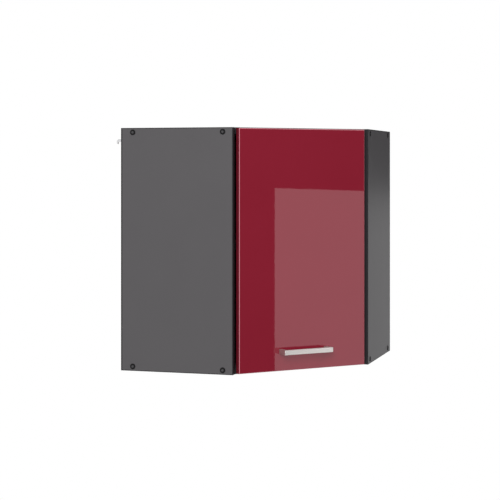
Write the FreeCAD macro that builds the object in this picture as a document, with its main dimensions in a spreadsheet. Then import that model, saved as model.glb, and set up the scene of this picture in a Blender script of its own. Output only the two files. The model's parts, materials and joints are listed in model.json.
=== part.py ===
import FreeCAD, Part
import math
import os
import re
import Sketcher

# Wall-hung diagonal corner kitchen cabinet, in millimetres, +Z up.
# The origin is the room's corner at the height of the cabinet's underside.
# One wall lies in the plane y = 0 and the other in the plane x = 0.
# The cabinet lies where x and y are negative.

SIZES = {
    # Carcass
    "cabinet_height": 600,
    "wall_length": 565,
    "side_depth": 290,
    "board": 16,
    "back_board": 3,
    "edge_band": 2,
    "front_setback": 1.2,
    "shelf_height": 300,
    "shelf_setback": 28,
    "shelf_play": 1,
    "post_width": 50,
    "fastener_play": 0.1,
    # Connecting screws, their cover caps and the dowels between them
    "screw_length": 50,
    "screw_shank_radius": 3.5,
    "screw_core_radius": 2.5,
    "screw_head_radius": 5,
    "screw_head_height": 3,
    "screw_socket_radius": 2,
    "screw_socket_depth": 2.2,
    "screw_from_rear": 31,
    "screw_from_front": 26,
    "screw_from_end": 11,
    "cap_radius": 7,
    "cap_flat_radius": 3,
    "cap_height": 1.8,
    "cap_rim": 0.6,
    "dowel_radius": 4,
    "dowel_length": 30,
    "dowel_in_side": 11,
    "dowel_spacing": 64,
    # Shelf supports
    "pin_radius": 2.5,
    "pin_seat": 9,
    "pin_reach": 9,
    "pin_collar_radius": 4,
    "pin_collar": 0.8,
    "pin_row_pitch": 32,
    "pin_inset": 55,
    # Back panel nails and the notch for the hanger hook
    "nail_radius": 0.8,
    "nail_head_radius": 2.2,
    "nail_head": 0.8,
    "nail_length": 18,
    "nail_inset": 60,
    "notch_width": 20,
    "notch_depth": 58,
    # Door and handle
    "door_thickness": 16,
    "door_end_gap": 2,
    "door_side_gap": 3.1,
    "door_front_gap": 1.3,
    "door_rounding": 2,
    "bumper_radius": 4,
    "bumper_inset": 20,
    "bumper_gap": 0.3,
    "handle_length": 138,
    "handle_hole_spacing": 128,
    "handle_projection": 29,
    "handle_height": 12,
    "handle_bar": 8,
    "handle_leg": 10,
    "handle_rounding": 1.2,
    "handle_level": 50,
    "handle_screw_radius": 2,
    "handle_screw_head_radius": 4,
    "handle_screw_head": 2.2,
    "handle_screw_grip": 10,
    # Cup hinges: pivots are measured from the door's hinge edge and from its back face, outwards positive
    "hinge_inset": 98,
    "cup_radius": 17.5,
    "cup_edge_distance": 5,
    "cup_depth": 12.5,
    "cup_wall": 1,
    "ear_pin_end": 10.5,
    "flange_thickness": 1.2,
    "flange_radius": 19.5,
    "flange_wing_width": 14,
    "flange_margin": 4,
    "cup_screw_spacing": 45,
    "cup_screw_offset": 9.5,
    "cup_screw_length": 13,
    "cup_screw_radius": 1.75,
    "outer_arm_pivot_across": 38.22,
    "outer_arm_pivot_out": -23.45,
    "outer_cup_pivot_across": 10,
    "outer_cup_pivot_out": 2,
    "inner_arm_pivot_across": 23.61,
    "inner_arm_pivot_out": -3,
    "inner_cup_pivot_across": 10.36,
    "inner_cup_pivot_out": 4.17,
    "pivot_radius": 1.1,
    "arm_pin_radius": 1.5,
    "running_play": 0.06,
    "open_pivot_play": 0.25,
    "eye_radius": 2.2,
    "link_width": 2.8,
    "inner_link_half": 2.4,
    "lug_thickness": 1.6,
    "sheet_gap": 0.25,
    "outer_link_sheet": 1.5,
    "arm_sheet": 1.6,
    "arm_depth": 8,
    "arm_height": 16,
    "arm_web": 1.4,
    "arm_reach": 62,
    "plate_setback": 37,
    "plate_screw_spacing": 32,
    "plate_wing": 2,
    "plate_wing_width": 18,
    "plate_wing_length": 48,
    "plate_screw_radius": 2,
    "plate_screw_length": 14,
    "arm_screw_radius": 2.5,
    "arm_screw_head_radius": 4,
    "arm_screw_head": 2,
    "arm_screw_spacing": 18,
    # Wall hangers: sizes are measured from the side panel's inner face, the rear plane and the cabinet's top
    "hanger_thickness": 17,
    "hanger_depth": 54,
    "hanger_height": 48,
    "hanger_wall": 2,
    "hanger_drop": 2,
    "hanger_rear_gap": 1,
    "hanger_tab": 14,
    "hanger_tab_height": 38,
    "hanger_rounding": 3,
    "carriage_depth": 26,
    "carriage_front_room": 12,
    "slide_play": 0.3,
    "hook_thickness": 3,
    "hook_reach": 20.5,
    "hook_bar": 7,
    "hook_tooth": 4,
    "hook_tooth_drop": 6,
    "hook_rounding": 1,
    "hook_tail": 14,
    "hook_travel": 5,
    "hook_top_drop": 27,
    "hanger_screw_radius": 2.5,
    "hanger_screw_head_radius": 4,
    "hanger_screw_head": 2.5,
    "height_screw_head": 1.5,
    "fixing_screw_radius": 2,
    "fixing_screw_length": 12,
}

SHEET_NAME = "Sizes"
UP = FreeCAD.Vector(0, 0, 1)

doc = FreeCAD.newDocument("corner_wall_cabinet")
sheet = doc.addObject("Spreadsheet::Sheet", SHEET_NAME)
for row, (alias, number) in enumerate(SIZES.items(), start=1):
    sheet.set(f"A{row}", alias)
    sheet.set(f"B{row}", str(number))
    sheet.setAlias(f"B{row}", alias)
doc.recompute()

nodes = []


# Expressions

def cells(text):
    """Give every size named in an expression its sheet prefix."""
    return re.sub(r"[a-z_]+", lambda word: f"{SHEET_NAME}.{word[0]}" if word[0] in SIZES else word[0], text)


def value(text):
    """Work an expression out to a number."""
    return float(sheet.evalExpression(cells(text)))


def bind(thing, **texts):
    """Bind properties of an object to expressions."""
    for prop, text in texts.items():
        thing.setExpression(prop, cells(text))
    return thing


def set_base(thing, point):
    """Bind an object's position to three expressions."""
    for axis, text in zip("xyz", point):
        thing.setExpression(f"Placement.Base.{axis}", cells(text))
    return thing


def node(label, thing):
    """Name a finished piece."""
    thing.Label = label
    nodes.append(thing)
    return thing


# Building blocks

def block(name, low, size):
    """A box from its low corner and its three sizes."""
    box = bind(doc.addObject("Part::Box", name), Length=size[0], Width=size[1], Height=size[2])
    return set_base(box, low)


def rod(name, radius, length, start, direction=(0, 0, 1)):
    """A cylinder from the middle of its first end."""
    cylinder = bind(doc.addObject("Part::Cylinder", name), Radius=radius, Height=length)
    cylinder.Placement.Rotation = FreeCAD.Rotation(UP, FreeCAD.Vector(*direction))
    return set_base(cylinder, start)


def closed_outline(body, points, plane_role):
    """A closed sketch of straight lines whose corners are bound to expressions."""
    sketch = body.newObject("Sketcher::SketchObject", "Outline")
    plane = next(item for item in body.Origin.OriginFeatures if item.Role == plane_role)
    sketch.AttachmentSupport = [(plane, "")]
    sketch.MapMode = "FlatFace"
    corners = [FreeCAD.Vector(value(across), value(up), 0) for across, up in points]
    count = len(corners)
    for index in range(count):
        sketch.addGeometry(Part.LineSegment(corners[index], corners[(index + 1) % count]), False)
    for index in range(count):
        sketch.addConstraint(Sketcher.Constraint("Coincident", index, 2, (index + 1) % count, 1))
    for index, (across, up) in enumerate(points):
        spans = (("DistanceX", across, corners[index].x), ("DistanceY", up, corners[index].y))
        for kind, text, start in spans:
            number = sketch.addConstraint(Sketcher.Constraint(kind, index, 1, start))
            sketch.setExpression(f"Constraints[{number}]", cells(text))
    return sketch


def prism(name, points, low, height):
    """An upright prism on an outline in plan."""
    body = doc.addObject("PartDesign::Body", name)
    sketch = closed_outline(body, points, "XY_Plane")
    sketch.setExpression("AttachmentOffset.Base.z", cells(low))
    pad = body.newObject("PartDesign::Pad", "Thickness")
    pad.Profile = sketch
    bind(pad, Length=height)
    return body


def turned(name, profile):
    """A turned piece: profile corners are (radius, height) and the axis is local Z."""
    body = doc.addObject("PartDesign::Body", name)
    sketch = closed_outline(body, profile, "XZ_Plane")
    revolution = body.newObject("PartDesign::Revolution", "Turning")
    revolution.Profile = sketch
    revolution.ReferenceAxis = (sketch, ["V_Axis"])
    revolution.Angle = 360
    return body


def bore(name, radius, depth, start, direction):
    """A cylinder to take away for a fastener, with its play all round."""
    return rod(name, f"{radius} + fastener_play", depth, start, direction)


def fused(name, parts):
    whole = doc.addObject("Part::MultiFuse", name)
    whole.Shapes = parts
    return whole


def cut(name, base, tools):
    """Take a list of tools away from a base."""
    bundle = doc.addObject("Part::Compound", f"{name}_tools")
    bundle.Links = tools
    result = doc.addObject("Part::Cut", name)
    result.Base = base
    result.Tool = bundle
    return result


def round_ended(name, middle, width, length, thickness):
    """An upright plate with round ends, from the middle of its face; it is thick along y."""
    x, y, z = middle
    straight = f"({length} - {width})"
    low = (f"{x} - {width} / 2", y, f"{z} - {straight} / 2")
    parts = [block(f"{name}_middle", low, (width, thickness, straight))]
    for way in (-1, 1):
        end = (x, y, f"{z} + {way} * {straight} / 2")
        parts.append(rod(f"{name}_end_{way + 1}", f"{width} / 2", thickness, end, (0, 1, 0)))
    return fused(name, parts)


def seat(point, direction):
    """The placement of a turned piece whose axis leaves a point along a direction."""
    base = FreeCAD.Vector(*(value(text) for text in point))
    return FreeCAD.Placement(base, FreeCAD.Rotation(UP, FreeCAD.Vector(*direction)))


def group(label, master, places):
    """One node of separate copies of a piece."""
    doc.recompute()
    copies = []
    for place in places:
        copy = master.Shape.copy()
        copy.Placement = place
        copies.append(copy)
    bundle = doc.addObject("Part::Feature", label)
    bundle.Shape = Part.makeCompound(copies)
    return node(label, bundle)


def hand(side, point):
    """The left half's point, or its mirror image in the right half, where x and y change places."""
    x, y, z = point
    return (x, y, z) if side == "left" else (y, x, z)


# Derived places and sizes

INNER = "(wall_length - board)"
ROOT_TWO = "sqrt(2)"
DOOR_WIDTH = f"((wall_length - board - side_depth) * {ROOT_TWO} - 2 * door_side_gap)"
DOOR_HEIGHT = "(cabinet_height - 2 * door_end_gap)"
BOARD_LEVELS = {"bottom": "(board / 2)", "top": "(cabinet_height - board / 2)"}
SCREW_LEVELS = {"bottom": "screw_from_end", "top": "(cabinet_height - screw_from_end)"}
SCREW_DEPTHS = ("screw_from_rear", "(side_depth - screw_from_front)")
SIDE_MIDDLE = "((side_depth + back_board) / 2)"
DOWEL_DEPTHS = (f"({SIDE_MIDDLE} - dowel_spacing / 2)", f"({SIDE_MIDDLE} + dowel_spacing / 2)")
PIN_DEPTHS = ("(back_board + pin_inset)", "(side_depth - pin_inset)")
PIN_LEVEL = "(shelf_height - pin_radius - fastener_play)"
POST_MIDDLE = "(back_board + post_width / 2)"
HINGE_LEVELS = {
    "upper": "(cabinet_height - door_end_gap - hinge_inset)",
    "lower": "(door_end_gap + hinge_inset)",
}
CUP_MIDDLE = "(cup_edge_distance + cup_radius)"

SIDES = ("left", "right")
INWARD = {"left": (1, 0, 0), "right": (0, 1, 0)}
OUTWARD = {"left": (-1, 0, 0), "right": (0, -1, 0)}
FORWARD = {"left": (0, -1, 0), "right": (-1, 0, 0)}
REARWARD = {"left": (0, 1, 0), "right": (1, 0, 0)}


def door_frame(level="0"):
    """The door's own frame: x runs across it from the hinge edge, y points out of the cabinet."""
    half = f"({DOOR_WIDTH} / 2)"
    middle = f"(-({INNER} + side_depth) / 2)"
    base = FreeCAD.Vector(
        value(f"{middle} + ({half} - door_front_gap) / {ROOT_TWO}"),
        value(f"{middle} - ({half} + door_front_gap) / {ROOT_TWO}"),
        value(level),
    )
    return FreeCAD.Placement(base, FreeCAD.Rotation(UP, 135))


# Carcass boards

def nail_seats(side):
    """Where the nails of one back panel enter it, on its outer face."""
    column = "(-wall_length + board / 2)"
    post = f"(-{POST_MIDDLE})" if side == "left" else "(-back_board - board / 2)"
    rise = "(cabinet_height - 2 * nail_inset)"
    run = "(wall_length - 4 * nail_inset)"
    heights = [f"(nail_inset + {step} * {rise} / 3)" for step in range(4)]
    stations = [f"(-wall_length + 2 * nail_inset + {step} * {run} / 2)" for step in range(3)]
    places = [(stile, "0", height) for stile in (column, post) for height in heights]
    places += [(station, "0", level) for station in stations for level in BOARD_LEVELS.values()]
    return [hand(side, place) for place in places]


def nail_holes(side, name):
    depth = "nail_length + fastener_play"
    holes = []
    for number, place in enumerate(nail_seats(side)):
        holes.append(bore(f"{name}_{number}", "nail_radius", depth, place, FORWARD[side]))
    return holes


def side_panel(side):
    """A side board, bored for the screws, dowels, shelf supports, nails, hanger and hinges."""
    low = hand(side, ("-wall_length", "-side_depth + edge_band", "edge_band"))
    size = hand(side, ("board", "side_depth - back_board - edge_band", "cabinet_height - 2 * edge_band"))
    holes = nail_holes(side, f"{side}_side_nail")
    for end_name in BOARD_LEVELS:
        for number, depth in enumerate(SCREW_DEPTHS):
            name = f"{side}_{end_name}_screw_{number}"
            start = hand(side, ("-wall_length", f"-{depth}", SCREW_LEVELS[end_name]))
            holes.append(bore(name, "screw_shank_radius", "board", start, INWARD[side]))
            holes.append(bore(f"{name}_head", "screw_head_radius", "screw_head_height", start, INWARD[side]))
        for number, depth in enumerate(DOWEL_DEPTHS):
            name = f"{side}_{end_name}_dowel_{number}"
            start = hand(side, (f"-{INNER}", f"-{depth}", BOARD_LEVELS[end_name]))
            holes.append(bore(name, "dowel_radius", "dowel_in_side", start, OUTWARD[side]))
    for number, depth in enumerate(PIN_DEPTHS):
        for step in (-1, 0, 1):
            name = f"{side}_pin_{number}_{step + 1}"
            start = hand(side, (f"-{INNER}", f"-{depth}", f"{PIN_LEVEL} + {step} * pin_row_pitch"))
            holes.append(bore(name, "pin_radius", "pin_seat", start, OUTWARD[side]))
    for number, (depth, level) in enumerate(fixing_screw_spots()):
        name = f"{side}_fixing_{number}"
        start = hand(side, (f"-{INNER}", depth, level))
        holes.append(bore(name, "fixing_screw_radius", "fixing_screw_length", start, OUTWARD[side]))
    if side == "right":
        for number, start in enumerate(plate_screw_spots()):
            name = f"plate_screw_hole_{number}"
            holes.append(bore(name, "plate_screw_radius", "plate_screw_length", start, OUTWARD[side]))
    node(f"{side}_side_panel", cut(f"{side}_side", block(f"{side}_side_blank", low, size), holes))


def five_sided(setback, play="0"):
    """The outline of a horizontal board: square at the walls, cut off along the diagonal front."""
    wall = f"(-back_board - {play})"
    end = f"(-{INNER} + {play})"
    front = f"(-side_depth + ({setback}) * {ROOT_TWO})"
    return [(end, wall), (wall, wall), (wall, end), (front, end), (end, front)]


def diagonal_strip(name, setback, low, height, play="0"):
    """The edge band on a horizontal board's diagonal front."""
    end = f"(-{INNER} + {play})"
    outer = f"(-side_depth + ({setback}) * {ROOT_TWO})"
    inner = f"(-side_depth + ({setback} + edge_band) * {ROOT_TWO})"
    return prism(name, [(end, outer), (outer, end), (inner, end), (end, inner)], low, height)


def end_panel(end_name):
    """The top or bottom board, bored in its two ends and nailed along its two rear edges."""
    level = BOARD_LEVELS[end_name]
    low = f"({level} - board / 2)"
    blank = prism(f"{end_name}_blank", five_sided("front_setback + edge_band"), low, "board")
    screw_reach = "screw_length - board + fastener_play"
    dowel_reach = "dowel_length - dowel_in_side + fastener_play"
    holes = []
    for side in SIDES:
        holes += nail_holes(side, f"{end_name}_{side}_nail")
        for number, depth in enumerate(SCREW_DEPTHS):
            name = f"{end_name}_{side}_core_{number}"
            start = hand(side, (f"-{INNER}", f"-{depth}", SCREW_LEVELS[end_name]))
            holes.append(bore(name, "screw_core_radius", screw_reach, start, INWARD[side]))
        for number, depth in enumerate(DOWEL_DEPTHS):
            name = f"{end_name}_{side}_bore_{number}"
            start = hand(side, (f"-{INNER}", f"-{depth}", level))
            holes.append(bore(name, "dowel_radius", dowel_reach, start, INWARD[side]))
    node(f"{end_name}_panel", cut(f"{end_name}_board", blank, holes))
    node(f"{end_name}_edge_band", diagonal_strip(f"{end_name}_strip", "front_setback", low, "board"))


def shelf():
    """The shelf lies loose on its supports, clear of the walls and of the corner post."""
    outline = five_sided("shelf_setback + edge_band", "shelf_play")
    blank = prism("shelf_blank", outline, "shelf_height", "board")
    room_x = "(back_board + post_width + shelf_play)"
    room_y = "(back_board + board + shelf_play)"
    post_room = block("post_room", (f"-{room_x}", f"-{room_y}", "shelf_height"), (room_x, room_y, "board"))
    node("shelf", cut("shelf_board", blank, [post_room]))
    strip = diagonal_strip("shelf_strip", "shelf_setback", "shelf_height", "board", "shelf_play")
    node("shelf_edge_band", strip)


def corner_post():
    """The upright strip in the rear corner that both back panels are nailed to."""
    low = ("-back_board - post_width", "-back_board - board", "board")
    blank = block("post_blank", low, ("post_width", "board", "cabinet_height - 2 * board"))
    holes = nail_holes("left", "post_left_nail") + nail_holes("right", "post_right_nail")
    start = (f"-{POST_MIDDLE}", "-back_board - board", PIN_LEVEL)
    holes.append(bore("post_pin", "pin_radius", "pin_seat", start, (0, 1, 0)))
    node("corner_post", cut("post_board", blank, holes))


def back_panel(side):
    """A thin back with a notch at its top outer corner, where the hanger's hook comes out."""
    inner_end = "0" if side == "left" else "back_board"
    low = hand(side, ("-wall_length", "-back_board", "0"))
    size = hand(side, (f"wall_length - {inner_end}", "back_board", "cabinet_height"))
    notch_low = hand(side, (f"-{INNER}", "-back_board", "cabinet_height - notch_depth"))
    notch_size = hand(side, ("notch_width", "back_board", "notch_depth"))
    tools = [block(f"{side}_notch", notch_low, notch_size)]
    for number, place in enumerate(nail_seats(side)):
        name = f"{side}_back_nail_{number}"
        tools.append(bore(name, "nail_radius", "back_board", place, FORWARD[side]))
        tools.append(bore(f"{name}_head", "nail_head_radius", "nail_head", place, FORWARD[side]))
    node(f"{side}_back_panel", cut(f"{side}_back", block(f"{side}_back_blank", low, size), tools))


def side_edge_bands(side):
    """Bands on a side board's front, top and bottom edges, as three separate strips."""
    run = "(side_depth - back_board - edge_band)"
    behind = "-side_depth + edge_band"
    strips = {
        "front": (("-wall_length", "-side_depth", "0"), ("board", "edge_band", "cabinet_height")),
        "bottom": (("-wall_length", behind, "0"), ("board", run, "edge_band")),
        "top": (("-wall_length", behind, "cabinet_height - edge_band"), ("board", run, "edge_band")),
    }
    links = []
    for name, (low, size) in strips.items():
        links.append(block(f"{side}_{name}_band", hand(side, low), hand(side, size)))
    bands = doc.addObject("Part::Compound", f"{side}_bands")
    bands.Links = links
    node(f"{side}_side_edge_bands", bands)


# Fasteners of the carcass

def connecting_screws():
    """Screws through the side boards into the ends of the top and bottom boards, and their cover caps."""
    screw = turned("connecting_screw", [
        ("0", "screw_socket_depth"),
        ("screw_socket_radius", "screw_socket_depth"),
        ("screw_socket_radius", "0"),
        ("screw_head_radius", "0"),
        ("screw_head_radius", "screw_head_height"),
        ("screw_shank_radius", "screw_head_height"),
        ("screw_shank_radius", "board"),
        ("screw_core_radius", "board"),
        ("screw_core_radius", "screw_length - screw_core_radius"),
        ("0", "screw_length"),
    ])
    stem = "(screw_socket_radius - fastener_play)"
    cap = turned("cover_cap", [
        ("0", "-cap_height"),
        ("cap_flat_radius", "-cap_height"),
        ("cap_radius", "-cap_rim"),
        ("cap_radius", "0"),
        (stem, "0"),
        (stem, "screw_socket_depth - fastener_play"),
        ("0", "screw_socket_depth - fastener_play"),
    ])
    places = []
    for side in SIDES:
        for depth in SCREW_DEPTHS:
            for level in SCREW_LEVELS.values():
                places.append(seat(hand(side, ("-wall_length", f"-{depth}", level)), INWARD[side]))
    group("connecting_screws", screw, places)
    group("screw_cover_caps", cap, places)


def wood_dowels():
    chamfer = "(dowel_radius / 4)"
    dowel = turned("dowel", [
        ("0", "0"),
        (f"dowel_radius - {chamfer}", "0"),
        ("dowel_radius", chamfer),
        ("dowel_radius", f"dowel_length - {chamfer}"),
        (f"dowel_radius - {chamfer}", "dowel_length"),
        ("0", "dowel_length"),
    ])
    places = []
    for side in SIDES:
        for depth in DOWEL_DEPTHS:
            for level in BOARD_LEVELS.values():
                start = hand(side, (f"-{INNER} - dowel_in_side", f"-{depth}", level))
                places.append(seat(start, INWARD[side]))
    group("wood_dowels", dowel, places)


def shelf_pins():
    pin = turned("shelf_pin", [
        ("0", "-pin_seat"),
        ("pin_radius", "-pin_seat"),
        ("pin_radius", "0"),
        ("pin_collar_radius", "0"),
        ("pin_collar_radius", "pin_collar"),
        ("pin_radius", "pin_collar"),
        ("pin_radius", "pin_reach"),
        ("0", "pin_reach"),
    ])
    places = [seat((f"-{POST_MIDDLE}", "-back_board - board", PIN_LEVEL), (0, -1, 0))]
    for side in SIDES:
        for depth in PIN_DEPTHS:
            places.append(seat(hand(side, (f"-{INNER}", f"-{depth}", PIN_LEVEL)), INWARD[side]))
    group("shelf_pins", pin, places)


def back_nails():
    nail = turned("back_nail", [
        ("0", "0"),
        ("nail_head_radius", "0"),
        ("nail_head_radius", "nail_head"),
        ("nail_radius", "nail_head"),
        ("nail_radius", "nail_length"),
        ("0", "nail_length"),
    ])
    places = []
    for side in SIDES:
        places += [seat(place, FORWARD[side]) for place in nail_seats(side)]
    group("back_nails", nail, places)


# Door and handle, in the door's own frame

HANDLE_MIDDLE = f"({DOOR_WIDTH} / 2)"
HANDLE_HOLES = [f"({HANDLE_MIDDLE} + {way} * handle_hole_spacing / 2)" for way in (-1, 1)]
SAME_PLACE = 0.001


def near(number, target):
    """Whether two coordinates are the same place."""
    return abs(number - target) < SAME_PLACE


def edges_where(shape, test):
    """Names of the edges whose middle passes a test."""
    return [f"Edge{number}" for number, edge in enumerate(shape.Edges, start=1) if test(edge.CenterOfMass)]


def rounded(body, base, radius, test):
    """Round chosen edges of a body's last feature."""
    doc.recompute()
    fillet = body.newObject("PartDesign::Fillet", "Rounding")
    fillet.Base = (base, edges_where(base.Shape, test))
    bind(fillet, Radius=radius)
    return body


def cup_screw_spots(level):
    across = f"{CUP_MIDDLE} + cup_screw_offset"
    return [(across, f"{level} + {way} * cup_screw_spacing / 2") for way in (-1, 1)]


def door_panel():
    """The door board: rounded front edges, cup bores and handle holes from behind."""
    outline = [("0", "0"), (DOOR_WIDTH, "0"), (DOOR_WIDTH, "door_thickness"), ("0", "door_thickness")]
    body = prism("door_blank", outline, "door_end_gap", DOOR_HEIGHT)
    front = value("door_thickness")
    rounded(body, body.Tip, "door_rounding", lambda point: near(point.y, front))
    pilot_depth = "cup_screw_length - flange_thickness + fastener_play"
    outwards = (0, 1, 0)
    holes = []
    for name, level in HINGE_LEVELS.items():
        holes.append(bore(f"{name}_cup_bore", "cup_radius", "cup_depth", (CUP_MIDDLE, "0", level), outwards))
        for number, (across, height) in enumerate(cup_screw_spots(level)):
            start = (across, "0", height)
            holes.append(bore(f"{name}_cup_pilot_{number}", "cup_screw_radius", pilot_depth, start, outwards))
    for number, across in enumerate(HANDLE_HOLES):
        start = (across, "0", "handle_level")
        holes.append(bore(f"handle_hole_{number}", "handle_screw_radius", "door_thickness", start, outwards))
    door = cut("door", body, holes)
    door.Placement = door_frame()
    node("door_panel", door)


def door_handle():
    """The bow handle: a flat bar on two legs, bored for its screws."""
    left = f"({HANDLE_MIDDLE} - handle_length / 2)"
    right = f"({HANDLE_MIDDLE} + handle_length / 2)"
    face = "(door_thickness + handle_projection)"
    inside = "(door_thickness + handle_projection - handle_bar)"
    outline = [
        (left, "door_thickness"),
        (f"{left} + handle_leg", "door_thickness"),
        (f"{left} + handle_leg", inside),
        (f"{right} - handle_leg", inside),
        (f"{right} - handle_leg", "door_thickness"),
        (right, "door_thickness"),
        (right, face),
        (left, face),
    ]
    body = prism("handle_blank", outline, "handle_level - handle_height / 2", "handle_height")
    foot = value("door_thickness")
    rounded(body, body.Tip, "handle_rounding", lambda point: not near(point.y, foot))
    holes = []
    for number, across in enumerate(HANDLE_HOLES):
        start = (across, "door_thickness", "handle_level")
        reach = "handle_screw_grip + fastener_play"
        holes.append(bore(f"handle_thread_{number}", "handle_screw_radius", reach, start, (0, 1, 0)))
    handle = cut("handle", body, holes)
    handle.Placement = door_frame()
    node("door_handle", handle)


def handle_screws():
    screw = turned("handle_screw", [
        ("0", "-handle_screw_head"),
        ("handle_screw_head_radius", "-handle_screw_head"),
        ("handle_screw_head_radius", "0"),
        ("handle_screw_radius", "0"),
        ("handle_screw_radius", "door_thickness + handle_screw_grip"),
        ("0", "door_thickness + handle_screw_grip"),
    ])
    seats = [seat((across, "0", "handle_level"), (0, 1, 0)) for across in HANDLE_HOLES]
    group("handle_screws", screw, [door_frame().multiply(place) for place in seats])


def door_bumpers():
    """Soft stops on the door's back that meet the top and bottom boards' front edges."""
    height = "(door_front_gap + front_setback - bumper_gap)"
    bumper = turned("bumper", [
        ("0", "0"),
        ("bumper_radius", "0"),
        ("bumper_radius", f"{height} / 2"),
        ("bumper_radius / 2", height),
        ("0", height),
    ])
    across = f"({DOOR_WIDTH} - bumper_inset)"
    seats = [seat((across, "0", level), (0, -1, 0)) for level in BOARD_LEVELS.values()]
    group("door_bumpers", bumper, [door_frame().multiply(place) for place in seats])


# Cup hinges: layers outwards from the hinge's middle are inner link, lugs, outer link, arm cheeks

LUG_IN = "(inner_link_half + sheet_gap)"
LUG_OUT = f"({LUG_IN} + lug_thickness)"
LINK_IN = f"({LUG_OUT} + sheet_gap)"
LINK_OUT = f"({LINK_IN} + outer_link_sheet)"
CHEEK_IN = f"({LINK_OUT} + sheet_gap)"
CHEEK_OUT = f"({CHEEK_IN} + arm_sheet)"
OUTER_ARM = ("outer_arm_pivot_across", "outer_arm_pivot_out")
OUTER_CUP = ("outer_cup_pivot_across", "outer_cup_pivot_out")
INNER_ARM = ("inner_arm_pivot_across", "inner_arm_pivot_out")
INNER_CUP = ("inner_cup_pivot_across", "inner_cup_pivot_out")
CUP_FLOOR = "(cup_depth - cup_wall)"


def panel_point(along, off):
    """A point beside the right side board, from its inner front corner: along the board and off its face."""
    across = f"(-door_side_gap + ({off} - {along}) / {ROOT_TWO})"
    out = f"(-door_front_gap - ({off} + {along}) / {ROOT_TWO})"
    return across, out


def twin(name, points, inner, outer):
    """Two equal plates, one each side of the hinge's middle plane."""
    sheet_thickness = f"({outer} - {inner})"
    return [
        prism(f"{name}_high", points, inner, sheet_thickness),
        prism(f"{name}_low", points, f"-{outer}", sheet_thickness),
    ]


def pivot_bore(name, pivot, radius, half):
    """An upright cylinder through the hinge's middle plane at a pivot."""
    return rod(name, radius, f"2 * {half}", (pivot[0], pivot[1], f"-{half}"))


def hinge_cup(name, level):
    """The pressed cup with its flange, ears for the outer link and lugs for the inner link."""
    middle = (CUP_MIDDLE, "0", "0")
    shell = cut(f"{name}_cup_shell", rod(f"{name}_cup_outside", "cup_radius", "cup_depth", middle, (0, 1, 0)),
                [rod(f"{name}_cup_inside", "cup_radius - cup_wall", CUP_FLOOR, middle, (0, 1, 0))])
    flange_start = (CUP_MIDDLE, "-flange_thickness", "0")
    wing_middle = (f"{CUP_MIDDLE} + cup_screw_offset", "-flange_thickness", "0")
    wing_length = "(cup_screw_spacing + 2 * flange_margin)"
    wing = round_ended(f"{name}_wing", wing_middle, "flange_wing_width", wing_length, "flange_thickness")
    disc = rod(f"{name}_disc", "flange_radius", "flange_thickness", flange_start, (0, 1, 0))
    edge_room = block(f"{name}_edge_room", ("-flange_radius", "-flange_thickness", "-flange_radius"),
                      ("flange_radius + cup_edge_distance / 2", "flange_thickness", "2 * flange_radius"))
    mouth = rod(f"{name}_mouth", "cup_radius - cup_wall", "flange_thickness", flange_start, (0, 1, 0))
    holes = [edge_room, mouth]
    for number, (across, height) in enumerate(cup_screw_spots("0")):
        start = (across, "-flange_thickness", height)
        hole = f"{name}_flange_hole_{number}"
        holes.append(bore(hole, "cup_screw_radius", "flange_thickness", start, (0, 1, 0)))
    flange = cut(f"{name}_flange", fused(f"{name}_flange_blank", [disc, wing]), holes)

    low = f"({OUTER_CUP[1]} - eye_radius)"
    ear_outline = [
        (f"{OUTER_CUP[0]} - 1.5 * eye_radius", low),
        (f"{OUTER_CUP[0]} + eye_radius", low),
        (f"{OUTER_CUP[0]} + eye_radius", CUP_FLOOR),
        (f"{OUTER_CUP[0]} - 1.5 * eye_radius", CUP_FLOOR),
    ]
    ears = twin(f"{name}_ear", ear_outline, CHEEK_IN, "(cup_radius - cup_wall)")
    inside = rod(f"{name}_ear_room", "cup_radius - cup_wall / 2", "cup_depth", middle, (0, 1, 0))
    ears_in_cup = doc.addObject("Part::Common", f"{name}_ears")
    ears_in_cup.Base = fused(f"{name}_ear_pair", ears)
    ears_in_cup.Tool = inside
    lug_outline = [
        (f"{INNER_CUP[0]} - eye_radius", f"{INNER_CUP[1]} - eye_radius"),
        (f"{INNER_CUP[0]} + eye_radius", f"{INNER_CUP[1]} - eye_radius"),
        (f"{INNER_CUP[0]} + 2 * eye_radius", "cup_depth - cup_wall / 2"),
        (f"{INNER_CUP[0]} - eye_radius", "cup_depth - cup_wall / 2"),
    ]
    lugs = twin(f"{name}_cup_lug", lug_outline, LUG_IN, LUG_OUT)
    blank = fused(f"{name}_cup_blank", [shell, flange, ears_in_cup] + lugs)
    bores = [
        pivot_bore(f"{name}_ear_bore", OUTER_CUP, "pivot_radius + running_play", "ear_pin_end"),
        pivot_bore(f"{name}_lug_bore", INNER_CUP, "pivot_radius + running_play", LUG_OUT),
    ]
    cup = cut(f"{name}_cup", blank, bores)
    cup.Placement = door_frame(level)
    node(f"{name}_hinge_cup", cup)


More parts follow.
